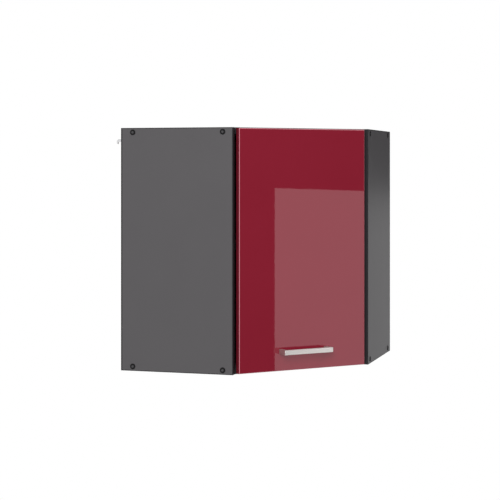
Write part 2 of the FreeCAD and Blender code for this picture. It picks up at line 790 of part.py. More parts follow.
def hinge_arm(name, level):
    """The cranked arm: a channel along the side board, a nose along the door, lugs up to the inner link."""
    nose_end = f"({OUTER_ARM[0]} + 1.5 * eye_radius)"
    web_out = f"({OUTER_ARM[1]} - arm_depth / 2 - arm_web)"
    rim_out = f"({OUTER_ARM[1]} + arm_depth / 2)"

    def crank(out, off):
        """Where the nose's line at a given depth meets the mounting part's line at a given height."""
        along = f"((-door_front_gap - {out}) * {ROOT_TWO} - {off})"
        return panel_point(along, off)

    def outline(out, off, end):
        return [(nose_end, out), crank(out, off), panel_point(end, off)]

    rim_off = "(arm_height - arm_depth - arm_web)"
    web_in = f"({web_out} + arm_web)"
    outside = outline(web_out, "arm_height", "arm_reach") + outline(rim_out, rim_off, "arm_reach")[::-1]
    past = "(arm_reach + arm_web)"
    beyond = f"({nose_end} + arm_web)"
    web_line = outline(web_in, "(arm_height - arm_web)", past)
    rim_line = outline(f"({rim_out} + arm_web)", f"({rim_off} - arm_web)", past)
    hollow = [(beyond, web_in)] + web_line[1:] + rim_line[1:][::-1] + [(beyond, f"({rim_out} + arm_web)")]
    outside_bar = prism(f"{name}_arm_outside", outside, f"-{CHEEK_OUT}", f"2 * {CHEEK_OUT}")
    hollow_bar = prism(f"{name}_arm_hollow", hollow, f"-{CHEEK_IN}", f"2 * {CHEEK_IN}")
    channel = cut(f"{name}_channel", outside_bar, [hollow_bar])
    lug_outline = [
        (f"{INNER_ARM[0]} - 2 * eye_radius", f"({web_out} + arm_web / 2)"),
        (f"{INNER_ARM[0]} + 2 * eye_radius", f"({web_out} + arm_web / 2)"),
        (f"{INNER_ARM[0]} + eye_radius", INNER_ARM[1]),
        (f"{INNER_ARM[0]} - eye_radius", INNER_ARM[1]),
    ]
    parts = [channel] + twin(f"{name}_arm_lug", lug_outline, LUG_IN, LUG_OUT)
    for way, start in (("high", LUG_IN), ("low", f"-{LUG_OUT}")):
        eye_start = (INNER_ARM[0], INNER_ARM[1], start)
        parts.append(rod(f"{name}_eye_{way}", "eye_radius", "lug_thickness", eye_start))
    bores = [
        pivot_bore(f"{name}_outer_bore", OUTER_ARM, "arm_pin_radius + running_play", CHEEK_OUT),
        pivot_bore(f"{name}_inner_bore", INNER_ARM, "pivot_radius + running_play", LUG_OUT),
    ]
    web_below, web_above = "(arm_height - 2 * arm_web)", "(arm_height + arm_web)"
    for number, along in enumerate(ARM_SCREW_SPOTS):
        across, out = panel_point(along, web_below)
        hole = f"{name}_arm_hole_{number}"
        bores.append(bore(hole, "arm_screw_radius", "3 * arm_web", (across, out, "0"), (1, -1, 0)))
    fork_start, fork_half = ARM_SCREW_SPOTS[-1], "(arm_screw_radius + fastener_play)"
    fork = [panel_point(fork_start, web_below), panel_point(past, web_below)]
    fork += [panel_point(past, web_above), panel_point(fork_start, web_above)]
    bores.append(prism(f"{name}_fork", fork, f"-{fork_half}", f"2 * {fork_half}"))
    arm = cut(f"{name}_arm", fused(f"{name}_arm_blank", parts), bores)
    arm.Placement = door_frame(level)
    node(f"{name}_hinge_arm", arm)


ARM_SCREW_SPOTS = [f"(plate_setback + {way} * arm_screw_spacing / 2)" for way in (-1, 1)]
PLATE_TOP = "(arm_height - arm_web)"


def plate_screw_spots():
    """Where the mounting plates' screws enter the right side board."""
    spots = []
    for level in HINGE_LEVELS.values():
        for way in (-1, 1):
            height = f"({level} + {way} * plate_screw_spacing / 2)"
            spots.append(("-side_depth + plate_setback", f"-{INNER}", height))
    return spots


def mounting_plate(name, level):
    """The plate on the side board: two screwed wings and the block that carries the arm."""
    middle = "(-side_depth + plate_setback)"
    wing_middle = (middle, f"-{INNER}", level)
    wing_sizes = ("plate_wing_width", "plate_wing_length", "plate_wing")
    wing = round_ended(f"{name}_plate_wing", wing_middle, *wing_sizes)
    block_half = f"({CHEEK_IN} - sheet_gap)"
    end_room = "(arm_screw_spacing / 2 + 2 * arm_screw_head_radius)"
    core_low = (f"{middle} - {end_room}", f"-{INNER}", f"{level} - {block_half}")
    core = block(f"{name}_plate_core", core_low, (f"2 * {end_room}", PLATE_TOP, f"2 * {block_half}"))
    holes = []
    for way in (-1, 1):
        start = (middle, f"-{INNER}", f"{level} + {way} * plate_screw_spacing / 2")
        hole = f"{name}_plate_hole_{way + 1}"
        holes.append(bore(hole, "plate_screw_radius", "plate_wing", start, (0, 1, 0)))
    for number, along in enumerate(ARM_SCREW_SPOTS):
        start = (f"-side_depth + {along}", f"-{INNER} + {PLATE_TOP} / 3", level)
        holes.append(bore(f"{name}_plate_thread_{number}", "arm_screw_radius", PLATE_TOP, start, (0, 1, 0)))
    node(f"{name}_hinge_plate", cut(f"{name}_plate", fused(f"{name}_plate_blank", [wing, core]), holes))


# Bends of the links: reach from a pivot in eye radii, and degrees from the line across the door
OUTER_BEND = (2.4, 31)
INNER_BENDS_AT_CUP = ((2.35, 52), (3.55, 39))
INNER_BENDS_AT_ARM = ((3.4, 77), (2.15, 60))


def bent_bar(points, width, low, high):
    """A bar of constant width along a bent line, rounded at every point."""
    lift = FreeCAD.Vector(0, 0, high - low)
    pieces = []
    for start, end in zip(points, points[1:]):
        side = FreeCAD.Vector(start.y - end.y, end.x - start.x, 0).normalize() * (width / 2)
        base = FreeCAD.Vector(0, 0, low)
        corners = [point + base for point in (start + side, end + side, end - side, start - side)]
        pieces.append(Part.Face(Part.makePolygon(corners + corners[:1])).extrude(lift))
    for point in points:
        pieces.append(Part.makeCylinder(width / 2, high - low, point + FreeCAD.Vector(0, 0, low)))
    return pieces[0].multiFuse(pieces[1:]).removeSplitter()


def pivot_point(pivot):
    return FreeCAD.Vector(value(pivot[0]), value(pivot[1]), 0)


def bend_point(centre, bend):
    """Where a link bends, from one of its pivots."""
    reach = bend[0] * value("eye_radius")
    angle = math.radians(bend[1])
    return centre + FreeCAD.Vector(reach * math.cos(angle), reach * math.sin(angle), 0)


def upright(radius, low, high, point):
    return Part.makeCylinder(radius, high - low, point + FreeCAD.Vector(0, 0, low))


def outer_link(name, level):
    """The long link: two bent cheeks joined by a barrel on the arm's pin."""
    arm_pivot = pivot_point(OUTER_ARM)
    cup_pivot = pivot_point(OUTER_CUP)
    bend = bend_point(cup_pivot, OUTER_BEND)
    inner, outer = value(LINK_IN), value(LINK_OUT)
    eye, width = value("eye_radius"), value("link_width")
    barrel_radius = value("arm_pin_radius") + eye / 2
    parts = [upright(barrel_radius, -outer, outer, arm_pivot)]
    for low, high in ((inner, outer), (-outer, -inner)):
        parts.append(bent_bar([cup_pivot, bend, arm_pivot], width, low, high))
        parts.append(upright(eye, low, high, cup_pivot))
    shape = parts[0].multiFuse(parts[1:])
    bores = [upright(value("arm_pin_radius + running_play"), -outer, outer, arm_pivot),
             upright(value("pivot_radius + running_play"), -outer, outer, cup_pivot)]
    link = doc.addObject("Part::Feature", f"{name}_outer_link")
    link.Shape = shape.cut(bores).removeSplitter()
    link.Placement = door_frame(level)
    node(f"{name}_hinge_outer_link", link)


def inner_link(name, level):
    """The short link arches through the cup, so that it clears the cup's rim when the door is open."""
    arm_pivot = pivot_point(INNER_ARM)
    cup_pivot = pivot_point(INNER_CUP)
    eye, width, half = value("eye_radius"), value("link_width"), value("inner_link_half")
    line = [cup_pivot]
    line += [bend_point(cup_pivot, bend) for bend in INNER_BENDS_AT_CUP]
    line += [bend_point(arm_pivot, bend) for bend in INNER_BENDS_AT_ARM]
    line.append(arm_pivot)
    shape = bent_bar(line, width, -half, half)
    shape = shape.multiFuse([upright(eye, -half, half, pivot) for pivot in (arm_pivot, cup_pivot)])
    bores = [upright(value("pivot_radius + running_play"), -half, half, arm_pivot),
             upright(value("pivot_radius + open_pivot_play"), -half, half, cup_pivot)]
    link = doc.addObject("Part::Feature", f"{name}_inner_link")
    link.Shape = shape.cut(bores).removeSplitter()
    link.Placement = door_frame(level)
    node(f"{name}_hinge_inner_link", link)


def pins(label, rows):
    """Plain pivot pins of both hinges: each row gives a pivot, a radius, a low end and a high end."""
    copies = []
    for level in HINGE_LEVELS.values():
        for pivot, radius, low, high in rows:
            pin = upright(value(radius), value(low), value(high), pivot_point(pivot))
            pin.Placement = door_frame(level).multiply(pin.Placement)
            copies.append(pin)
    bundle = doc.addObject("Part::Feature", label)
    bundle.Shape = Part.makeCompound(copies)
    node(label, bundle)


def hinge_pins():
    pins("hinge_arm_pins", [
        (OUTER_ARM, "arm_pin_radius", f"-{CHEEK_OUT}", CHEEK_OUT),
        (INNER_ARM, "pivot_radius", f"-{LUG_OUT}", LUG_OUT),
    ])
    pins("hinge_cup_pins", [
        (OUTER_CUP, "pivot_radius", LINK_IN, "ear_pin_end"),
        (OUTER_CUP, "pivot_radius", "-ear_pin_end", f"-{LINK_IN}"),
        (INNER_CUP, "pivot_radius", f"-{LUG_OUT}", LUG_OUT),
    ])


# A wood screw's head and point, in shank radii
HEAD_HEIGHT = 0.9
HEAD_RADIUS = 1.9
HEAD_RIM = 0.3
POINT_LENGTH = 1.5


def wood_screw(name, radius, length):
    """A screw whose shank starts at its seat: a shallow domed head and a plain shank with a point."""
    return turned(name, [
        ("0", f"-{HEAD_HEIGHT} * {radius}"),
        (radius, f"-{HEAD_HEIGHT} * {radius}"),
        (f"{HEAD_RADIUS} * {radius}", f"-{HEAD_RIM} * {radius}"),
        (f"{HEAD_RADIUS} * {radius}", "0"),
        (radius, "0"),
        (radius, f"{length} - {POINT_LENGTH} * {radius}"),
        ("0", length),
    ])


def hinge_screws():
    """Screws of the cups, of the mounting plates and of the arms."""
    cup_screw = wood_screw("cup_screw", "cup_screw_radius", "cup_screw_length")
    places = []
    for level in HINGE_LEVELS.values():
        for across, height in cup_screw_spots(level):
            places.append(door_frame().multiply(seat((across, "-flange_thickness", height), (0, 1, 0))))
    group("hinge_cup_screws", cup_screw, places)
    plate_screw = wood_screw("plate_screw", "plate_screw_radius", "plate_screw_length")
    places = [seat((x, f"{y} + plate_wing", z), (0, -1, 0)) for x, y, z in plate_screw_spots()]
    group("hinge_plate_screws", plate_screw, places)
    arm_screw = turned("arm_screw", [
        ("0", "-arm_screw_head"),
        ("arm_screw_head_radius", "-arm_screw_head"),
        ("arm_screw_head_radius", "0"),
        ("arm_screw_radius", "0"),
        ("arm_screw_radius", f"arm_web + {PLATE_TOP} / 2"),
        ("0", f"arm_web + {PLATE_TOP} / 2"),
    ])
    places = []
    for level in HINGE_LEVELS.values():
        for along in ARM_SCREW_SPOTS:
            places.append(seat((f"-side_depth + {along}", f"-{INNER} + arm_height", level), (0, -1, 0)))
    group("hinge_arm_screws", arm_screw, places)


# Wall hangers, written for the left side; the right one is its mirror image

HANGER_TOP = "(cabinet_height - board - hanger_drop)"
HANGER_LOW = f"({HANGER_TOP} - hanger_height)"
HANGER_REAR = "(-back_board - hanger_rear_gap)"
HANGER_FRONT = f"({HANGER_REAR} - hanger_depth)"
ROOM_LOW = f"({HANGER_LOW} + hanger_wall)"
ROOM_HEIGHT = "(hanger_height - 2 * hanger_wall)"
CARRIAGE_FRONT = f"({HANGER_FRONT} + hanger_wall + carriage_front_room)"
CARRIAGE_THICKNESS = "(hanger_thickness - 2 * hanger_wall - 2 * slide_play)"
CARRIAGE_LOW = f"({ROOM_LOW} + slide_play)"
CARRIAGE_HEIGHT = f"({ROOM_HEIGHT} - 2 * slide_play)"
HANGER_MIDDLE = f"(-{INNER} + hanger_thickness / 2)"
HOOK_TOP = "(cabinet_height - hook_top_drop)"
DEPTH_SCREW_LEVEL = f"({CARRIAGE_LOW} + {CARRIAGE_HEIGHT} - 2 * hanger_screw_radius)"
HEIGHT_SCREW_DEPTH = f"({CARRIAGE_FRONT} + carriage_depth / 2)"
HEIGHT_SCREW_LENGTH = f"({CARRIAGE_HEIGHT} - 6 * hanger_screw_radius)"
HOOK_FRONT = f"({HEIGHT_SCREW_DEPTH} + hanger_screw_radius + slide_play)"


def fixing_screw_spots():
    """Where a hanger's fixing screws enter the side board: depth from the wall and level."""
    depth = f"({HANGER_FRONT} - hanger_tab / 2)"
    return [(depth, f"({HANGER_LOW} + {quarter} * hanger_tab_height / 4)") for quarter in (1, 3)]


def side_plate(side, name, profile, low, thickness, radius, test):
    """A plate parallel to a side board, from a profile of depths and levels with chosen corners rounded."""
    body = doc.addObject("PartDesign::Body", name)
    pad = body.newObject("PartDesign::Pad", "Thickness")
    pad.Profile = closed_outline(body, profile, "YZ_Plane")
    bind(pad, Length=thickness)
    rounded(body, pad, radius, test)
    if side == "left":
        return set_base(body, (low, "0", "0"))
    body.Placement.Rotation = FreeCAD.Rotation(UP, -90)
    return set_base(body, ("0", f"{low} + {thickness}", "0"))


def hanger_case(side):
    """The housing's outside: a box with a rounded front corner."""
    away = f"(-{INNER} + hanger_thickness)"
    beside = f"(-{INNER})"
    corners = [(beside, HANGER_FRONT), (away, HANGER_FRONT), (away, HANGER_REAR), (beside, HANGER_REAR)]
    outline = [hand(side, (x, y, "0"))[:2] for x, y in corners]
    body = prism(f"{side}_hanger_case", outline, HANGER_LOW, "hanger_height")
    x, y = (value(text) for text in outline[1])
    return rounded(body, body.Tip, "hanger_rounding", lambda point: near(point.x, x) and near(point.y, y))


def hanger_tab(side):
    """The screwed tab at the housing's front, with its two free corners rounded."""
    front = f"({HANGER_FRONT} - hanger_tab)"
    high = f"({HANGER_LOW} + hanger_tab_height)"
    profile = [(front, HANGER_LOW), (HANGER_FRONT, HANGER_LOW), (HANGER_FRONT, high), (front, high)]
    middle, free = value("hanger_wall / 2"), value(front)

    def free_corner(point):
        return near(point.x, middle) and near(point.y, free)

    low, name = f"(-{INNER})", f"{side}_hanger_tab"
    return side_plate(side, name, profile, low, "hanger_wall", "hanger_rounding", free_corner)


def hanger_housing(side):
    """A case open to the wall with its tab, a way for the depth screw and a slot for the height screw."""
    room_low = hand(side, (f"-{INNER} + hanger_wall", f"{HANGER_FRONT} + hanger_wall", ROOM_LOW))
    room_size = hand(side, ("hanger_thickness - 2 * hanger_wall", "hanger_depth", ROOM_HEIGHT))
    slot_half = "(hanger_screw_head_radius + 3 * slide_play)"
    slot_low = hand(side, (f"{HANGER_MIDDLE} - {slot_half}", f"{HANGER_FRONT} + hanger_wall", HANGER_LOW))
    slot_size = hand(side, (f"2 * {slot_half}", "hanger_depth - 2 * hanger_wall", "hanger_wall"))
    start = hand(side, (HANGER_MIDDLE, HANGER_FRONT, DEPTH_SCREW_LEVEL))
    tools = [
        block(f"{side}_hanger_room", room_low, room_size),
        block(f"{side}_driver_slot", slot_low, slot_size),
        rod(f"{side}_depth_way", "hanger_screw_radius + running_play", "hanger_wall", start, REARWARD[side]),
    ]
    for number, (depth, level) in enumerate(fixing_screw_spots()):
        name = f"{side}_housing_fixing_{number}"
        start = hand(side, (f"-{INNER}", depth, level))
        tools.append(bore(name, "fixing_screw_radius", "hanger_wall", start, INWARD[side]))
    blank = fused(f"{side}_hanger_blank", [hanger_case(side), hanger_tab(side)])
    node(f"{side}_hanger_housing", cut(f"{side}_hanger", blank, tools))


def hanger_carriage(side):
    """The sliding block: nut of the depth screw, guide of the hook and seat of the height screw."""
    low = hand(side, (f"-{INNER} + hanger_wall + slide_play", CARRIAGE_FRONT, CARRIAGE_LOW))
    size = hand(side, (CARRIAGE_THICKNESS, "carriage_depth", CARRIAGE_HEIGHT))
    slot_half = "(hook_thickness / 2 + slide_play)"
    slot_foot = f"({HOOK_TOP} - hook_bar - hook_tail - hook_travel - slide_play)"
    slot_height = "hook_bar + hook_tail + 2 * hook_travel + 2 * slide_play"
    slot_low = hand(side, (f"{HANGER_MIDDLE} - {slot_half}", f"{HOOK_FRONT} - slide_play", slot_foot))
    slot_size = hand(side, (f"2 * {slot_half}", "carriage_depth", slot_height))
    screw_hole = "hanger_screw_radius + running_play"
    height_start = hand(side, (HANGER_MIDDLE, HEIGHT_SCREW_DEPTH, CARRIAGE_LOW))
    depth_start = hand(side, (HANGER_MIDDLE, CARRIAGE_FRONT, DEPTH_SCREW_LEVEL))
    tools = [
        block(f"{side}_hook_slot", slot_low, slot_size),
        rod(f"{side}_height_bore", screw_hole, HEIGHT_SCREW_LENGTH, height_start),
        rod(f"{side}_depth_bore", screw_hole, "carriage_depth", depth_start, REARWARD[side]),
    ]
    blank = block(f"{side}_carriage_blank", low, size)
    node(f"{side}_hanger_carriage", cut(f"{side}_carriage", blank, tools))


def hanger_hook(side):
    """The flat hook: a tail in the carriage, a bar through the back and a tooth behind the wall rail."""
    bar_low = f"({HOOK_TOP} - hook_bar)"
    inside = "(hook_reach - hook_tooth)"
    profile = [
        (HOOK_FRONT, f"{bar_low} - hook_tail"),
        (f"{HOOK_FRONT} + hook_bar", f"{bar_low} - hook_tail"),
        (f"{HOOK_FRONT} + hook_bar", bar_low),
        (inside, bar_low),
        (inside, f"{bar_low} - hook_tooth_drop"),
        ("hook_reach", f"{bar_low} - hook_tooth_drop + hook_tooth / 2"),
        ("hook_reach", f"{HOOK_TOP} - hook_tooth"),
        (inside, HOOK_TOP),
        (HOOK_FRONT, HOOK_TOP),
    ]
    low = f"({HANGER_MIDDLE} - hook_thickness / 2)"
    middle = value("hook_thickness / 2")
    hook = side_plate(side, f"{side}_hook", profile, low, "hook_thickness", "hook_rounding",
                      lambda point: near(point.x, middle))
    node(f"{side}_hanger_hook", hook)


def hanger_screws():
    """Each hanger's depth and height screws, and the fixing screws of both."""
    for side in SIDES:
        depth_length = f"({CARRIAGE_FRONT} - {HANGER_FRONT} + carriage_depth / 4)"
        screw = adjusting_screw(f"{side}_depth_screw_master", depth_length)
        start = hand(side, (HANGER_MIDDLE, HANGER_FRONT, DEPTH_SCREW_LEVEL))
        screw.Placement = seat(start, REARWARD[side])
        node(f"{side}_hanger_depth_screw", screw)
        screw = adjusting_screw(f"{side}_height_screw_master", HEIGHT_SCREW_LENGTH, "height_screw_head")
        start = hand(side, (HANGER_MIDDLE, HEIGHT_SCREW_DEPTH, CARRIAGE_LOW))
        screw.Placement = seat(start, (0, 0, 1))
        node(f"{side}_hanger_height_screw", screw)
    fixing = wood_screw("fixing_screw", "fixing_screw_radius", "fixing_screw_length")
    places = []
    for side in SIDES:
        for depth, level in fixing_screw_spots():
            places.append(seat(hand(side, (f"-{INNER} + hanger_wall", depth, level)), OUTWARD[side]))
    group("hanger_fixing_screws", fixing, places)


def adjusting_screw(name, length, head="hanger_screw_head"):
    """A plain adjusting screw whose head bears on its seat."""
    return turned(name, [
        ("0", f"-{head}"),
        ("hanger_screw_head_radius", f"-{head}"),
        ("hanger_screw_head_radius", "0"),
        ("hanger_screw_radius", "0"),
        ("hanger_screw_radius", length),
        ("0", length),
    ])


# Assembly

for side_name in SIDES:
    side_panel(side_name)
for board_name in BOARD_LEVELS:
    end_panel(board_name)
shelf()
corner_post()
for side_name in SIDES:
    back_panel(side_name)
    side_edge_bands(side_name)
connecting_screws()
wood_dowels()
shelf_pins()
back_nails()
door_panel()
door_handle()
handle_screws()
door_bumpers()
for hinge_name, hinge_level in HINGE_LEVELS.items():
    hinge_cup(hinge_name, hinge_level)
    hinge_arm(hinge_name, hinge_level)
    mounting_plate(hinge_name, hinge_level)
    outer_link(hinge_name, hinge_level)
    inner_link(hinge_name, hinge_level)
hinge_pins()
hinge_screws()
for side_name in SIDES:
    hanger_housing(side_name)
    hanger_carriage(side_name)
    hanger_hook(side_name)
hanger_screws()
doc.recompute()

# Every object has to be sound before anything is written

for thing in doc.Objects:
    if "Invalid" in thing.State or "Error" in thing.State:
        raise RuntimeError(f"{thing.Label} did not build: {thing.State}")
for piece in nodes:
    if piece.Shape.isNull() or not piece.Shape.isValid():
        raise RuntimeError(f"{piece.Label} has no sound shape")

os.makedirs("parts", exist_ok=True)
for piece in nodes:
    piece.Shape.exportStep(f"parts/{piece.Label}.step")
print(f"{len(nodes)} nodes")
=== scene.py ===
import json
import math

import bmesh
import bpy
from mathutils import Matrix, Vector


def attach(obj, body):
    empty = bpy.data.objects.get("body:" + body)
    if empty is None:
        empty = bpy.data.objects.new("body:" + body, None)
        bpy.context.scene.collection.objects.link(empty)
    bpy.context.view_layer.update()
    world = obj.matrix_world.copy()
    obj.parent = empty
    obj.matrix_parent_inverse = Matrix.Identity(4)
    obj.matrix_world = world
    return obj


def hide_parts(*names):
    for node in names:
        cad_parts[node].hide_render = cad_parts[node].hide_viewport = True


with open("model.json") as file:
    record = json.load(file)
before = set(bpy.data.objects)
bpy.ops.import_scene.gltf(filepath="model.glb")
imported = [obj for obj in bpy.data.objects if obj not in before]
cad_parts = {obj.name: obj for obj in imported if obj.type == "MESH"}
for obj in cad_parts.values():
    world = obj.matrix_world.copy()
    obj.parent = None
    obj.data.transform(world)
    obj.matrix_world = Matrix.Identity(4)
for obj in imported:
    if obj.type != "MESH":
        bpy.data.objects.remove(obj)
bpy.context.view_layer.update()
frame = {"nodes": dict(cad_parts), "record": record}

# Looks of the diagonal corner wall cabinet: materials, edge rounding, screws, studio and camera, in metres

nodes = frame["nodes"]
subparts = frame["record"]["subparts"]
bodies = frame["record"]["behaviour"]["bodies"]

# The room's axes, the direction across the door from its hinge edge, and the one out of the cabinet
ALONG_X = Vector((1, 0, 0))
ALONG_Y = Vector((0, 1, 0))
UP = Vector((0, 0, 1))
ACROSS = Vector((-1, 1, 0)).normalized()
OUT = Vector((-1, -1, 0)).normalized()


# Node material helpers

# Cosines between a surface's normal and an axis, which tell faces, flats and roundings apart
FACES_AXIS = 0.7
FLAT = 0.985
ROUNDING_BEGINS = 0.98
ROUNDING_FULL = 0.8
# Sockets of a mix node that blends colours, and of one that blends numbers
COLOUR_INPUTS = (0, 6, 7)
COLOUR_OUTPUT = 2
NUMBER_INPUTS = (0, 2, 3)
NUMBER_OUTPUT = 0
# How far an uneven roughness goes below and above its value
SMOOTHER = 0.06
ROUGHER = 0.08


def srgb(red, green, blue):
    """A linear colour from 8-bit screen values, by the standard screen curve."""
    channels = []
    for level in (red, green, blue):
        share = level / 255
        channels.append(share / 12.92 if share <= 0.04045 else ((share + 0.055) / 1.055) ** 2.4)
    return (*channels, 1.0)


def shaded(colour, share):
    """A colour darkened to a share of itself."""
    return (*(share * part for part in colour[:3]), 1.0)


class Shader:
    """A node material being put together around one principled surface."""

    def __init__(self, name):
        self.material = bpy.data.materials.new(name)
        self.material.use_nodes = True
        self.tree = self.material.node_tree
        self.surface = self.tree.nodes["Principled BSDF"]
        coordinates = self.add("ShaderNodeTexCoord")
        self.place = coordinates.outputs["Object"]
        self.normal = coordinates.outputs["Normal"]

    def feed(self, socket, value):
        """Link a socket to another node's output, or set its value."""
        if isinstance(value, bpy.types.NodeSocket):
            self.tree.links.new(value, socket)
        else:
            socket.default_value = value

    def add(self, kind, inputs=None, **settings):
        """A new node with its settings made and its inputs fed."""
        node = self.tree.nodes.new(kind)
        for name, setting in settings.items():
            setattr(node, name, setting)
        for name, value in (inputs or {}).items():
            self.feed(node.inputs[name], value)
        return node

    def set(self, **inputs):
        """Set or link inputs of the surface; underscores stand for spaces."""
        for name, value in inputs.items():
            self.feed(self.surface.inputs[name.replace("_", " ")], value)

    def stretched(self, scale, turn=0.0):
        """Object coordinates in axes turned about Z, then scaled along each of those axes."""
        inputs = {"Vector": self.place, "Rotation": (0, 0, turn), "Scale": [1 / part for part in scale]}
        return self.add("ShaderNodeMapping", inputs, vector_type="TEXTURE").outputs["Vector"]

    def noise(self, scale, detail=3.0, roughness=0.55, place=None):
        """Noise between zero and one, finer with a larger scale."""
        start = self.place if place is None else place
        inputs = {"Vector": start, "Scale": scale, "Detail": detail, "Roughness": roughness}
        return self.add("ShaderNodeTexNoise", inputs).outputs["Fac"]

    def cells(self, scale):
        """A random colour for each cell of a pattern, finer with a larger scale."""
        return self.add("ShaderNodeTexVoronoi", {"Vector": self.place, "Scale": scale}).outputs["Color"]

    def ramp(self, share, stops):
        """Colours blended along a share: stops are (position, colour)."""
        node = self.add("ShaderNodeValToRGB", {"Fac": share})
        elements = node.color_ramp.elements
        for position, _ in stops[1:-1]:
            elements.new(position)
        for element, (position, colour) in zip(elements, stops):
            element.position = position
            element.color = colour
        return node.outputs["Color"]

    def span(self, share, low, high):
        """A share mapped onto a range."""
        node = self.add("ShaderNodeMapRange", {"Value": share, "To Min": low, "To Max": high})
        return node.outputs["Result"]

    def uneven(self, share, roughness):
        """A roughness that varies a little with a share."""
        return self.span(share, roughness - SMOOTHER, roughness + ROUGHER)

    def mix(self, share, first, second):
        """A blend of two colours."""
        node = self.add("ShaderNodeMix", dict(zip(COLOUR_INPUTS, (share, first, second))), data_type="RGBA")
        return node.outputs[COLOUR_OUTPUT]

    def blend(self, share, first, second):
        """A blend of two numbers."""
        node = self.add("ShaderNodeMix", dict(zip(NUMBER_INPUTS, (share, first, second))), data_type="FLOAT")
        return node.outputs[NUMBER_OUTPUT]

    def arithmetic(self, operation, first, second=0.0):
        """The result of one step of arithmetic."""
        return self.add("ShaderNodeMath", {0: first, 1: second}, operation=operation).outputs[0]

    def towards(self, direction):
        """Cosine between the surface's normal and a direction."""
        inputs = {0: self.normal, 1: tuple(direction)}
        return self.add("ShaderNodeVectorMath", inputs, operation="DOT_PRODUCT").outputs["Value"]

    def nearest(self, *axes):
        """Cosine between the surface's normal and the nearest of the axes, taken either way along it."""
        largest = 0.0
        for axis in axes:
            size = self.arithmetic("ABSOLUTE", self.towards(axis))
            largest = self.arithmetic("MAXIMUM", size, largest)
        return largest

    def facing(self, direction):
        """One where the surface faces along a direction, zero elsewhere."""
        return self.arithmetic("GREATER_THAN", self.towards(direction), FACES_AXIS)

    def across(self, axis):
        """One on the two sides that face along an axis, zero elsewhere."""
        return self.arithmetic("GREATER_THAN", self.nearest(axis), FACES_AXIS)

    def square(self, *axes):
        """One on flat faces square to any of the axes, zero on roundings and bevels."""
        return self.arithmetic("GREATER_THAN", self.nearest(*axes), FLAT)

    def rounding(self, *axes):
        """Zero on flat faces square to the axes, rising smoothly to one on the edges between them."""
        inputs = {"Value": self.nearest(*axes), "From Min": ROUNDING_BEGINS, "From Max": ROUNDING_FULL}
        node = self.add("ShaderNodeMapRange", inputs, interpolation_type="SMOOTHSTEP")
        return node.outputs["Result"]

    def bump(self, height, strength, distance):
        """A relief on the surface."""
        node = self.add("ShaderNodeBump", {"Height": height, "Strength": strength, "Distance": distance})
        self.set(Normal=node.outputs["Normal"])


def paint(material, *names):
    """Give a material to CAD nodes."""
    for name in names:
        slots = nodes[name].data.materials
        slots.clear()
        slots.append(material)


# Materials

def melamine(name, *axes):
    """Anthracite melamine on the faces square to the axes, raw chipboard on the cut edges."""
    shader = Shader(name)
    decor = shader.square(*axes)
    grain = shader.noise(scale=1400, detail=4)
    cloud = shader.span(shader.noise(scale=9, detail=2), low=0.0, high=0.12)
    face = shader.mix(grain, srgb(82, 80, 82), srgb(93, 91, 93))
    face = shader.mix(cloud, face, srgb(112, 110, 112))
    chips = shader.ramp(shader.cells(scale=420), [
        (0.0, srgb(122, 92, 62)),
        (0.45, srgb(176, 142, 100)),
        (1.0, srgb(206, 178, 136)),
    ])
    shader.set(
        Base_Color=shader.mix(decor, chips, face),
        Roughness=shader.blend(decor, 0.85, shader.span(grain, low=0.32, high=0.44)),
        Specular_IOR_Level=0.3,
    )
    shader.bump(shader.noise(scale=900, detail=5), strength=0.12, distance=0.0002)
    return shader.material


def edge_band():
    """Dark plastic edging with a fine grain."""
    shader = Shader("edge_band")
    grain = shader.noise(scale=700, detail=4)
    shader.set(
        Base_Color=shader.mix(grain, srgb(34, 34, 36), srgb(50, 50, 52)),
        Roughness=shader.span(grain, low=0.38, high=0.5),
        Specular_IOR_Level=0.2,
    )
    shader.bump(shader.noise(scale=1600), strength=0.1, distance=0.0001)
    return shader.material


def fibreboard(name, axis_out):
    """Hardboard: lacquer towards the inside, brown fibres on the wall side, edges painted near-black as
    painted shade.
    """
    shader = Shader(name)
    inside = shader.facing(-axis_out)
    broad = shader.across(axis_out)
    strands = shader.stretched(scale=(260, 260, 520))
    fibre = shader.noise(scale=1.0, detail=6, roughness=0.7, place=strands)
    brown = shader.ramp(fibre, [(0.25, srgb(84, 62, 44)), (0.75, srgb(138, 106, 76))])
    # Painted shade: the cut edges are painted near-black, a dark outline along the rear edges
    edge = shader.mix(fibre, srgb(10, 9, 9), srgb(24, 22, 21))
    lacquer = shader.mix(shader.noise(scale=1100), srgb(72, 71, 73), srgb(92, 91, 93))
    shader.set(
        Base_Color=shader.mix(broad, edge, shader.mix(inside, brown, lacquer)),
        Roughness=shader.blend(inside, 0.8, 0.42),
        Specular_IOR_Level=0.2,
    )
    shader.bump(fibre, strength=0.15, distance=0.0003)
    return shader.material


def door_gloss():
    """Burgundy high-gloss foil on the front and edges, with a painted highlight along the rounded edges,
    plain light foil on the back.
    """
    shader = Shader("door_gloss")
    back = shader.facing(-OUT)
    face = shader.mix(shader.noise(scale=6, detail=2), srgb(134, 32, 48), srgb(139, 35, 52))
    # Painted highlight: the rounded edges are painted a paler pink, where the gloss catches the light
    red = shader.mix(shader.rounding(OUT, ACROSS, UP), face, srgb(222, 146, 158))
    pale = shader.mix(shader.noise(scale=900), srgb(206, 204, 200), srgb(220, 218, 214))
    shader.set(
        Base_Color=shader.mix(back, red, pale),
        Roughness=shader.blend(back, 0.015, 0.5),
        Specular_Tint=(1.0, 0.81, 0.84, 1.0),
    )
    shader.bump(shader.noise(scale=55, detail=2), strength=0.004, distance=0.001)
    return shader.material


